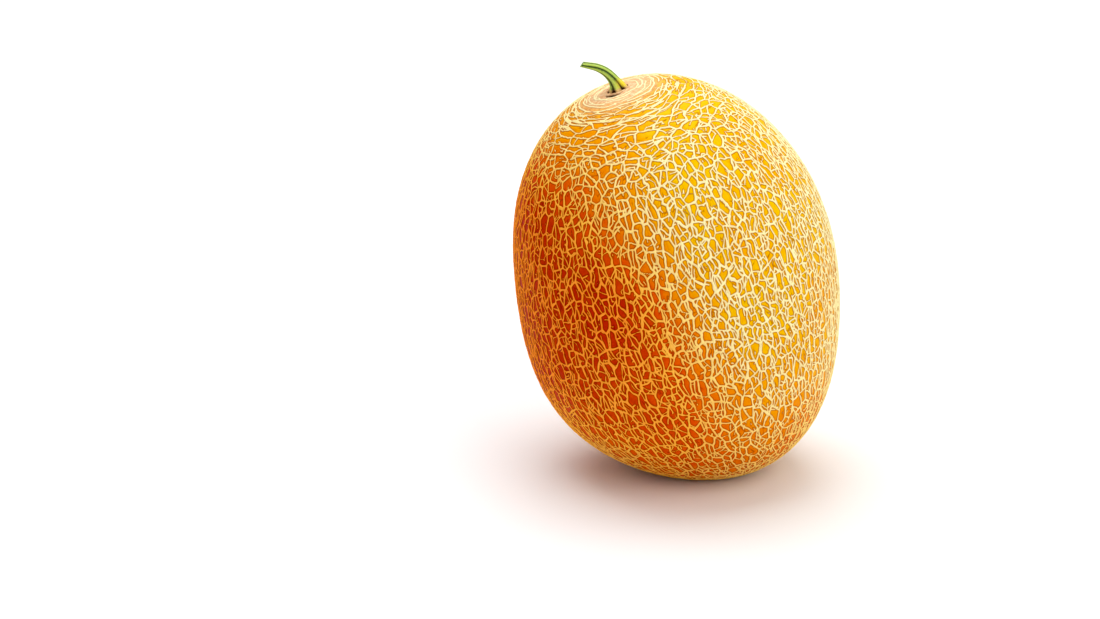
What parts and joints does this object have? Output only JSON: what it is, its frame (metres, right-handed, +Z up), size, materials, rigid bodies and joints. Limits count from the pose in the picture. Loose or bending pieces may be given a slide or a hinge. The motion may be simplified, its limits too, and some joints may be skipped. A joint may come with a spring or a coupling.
{
  "type": "cantaloupe melon",
  "caption": "Whole netted cantaloupe melon with a short curved cut stem, resting slightly tipped on its flat ground spot.",
  "frame": {"origin": "on the ground, on the flat ground spot, straight under the middle of the fruit", "axes": "+Z up, the stem end leans towards -X, and the stem turns a little towards -Y"},
  "size_m": [0.1506, 0.1446, 0.1956],
  "materials": {
    "rind": "golden yellow to orange melon rind under a raised net of cream corky lines, satin skin between them",
    "stem": "fresh green ribbed stem, pale along its ribs, yellow at the flared base and dark in the grooves"
  },
  "bodies": {
    "root": {"fruit": "rind", "stem": "stem"}
  },
  "joints": []
}
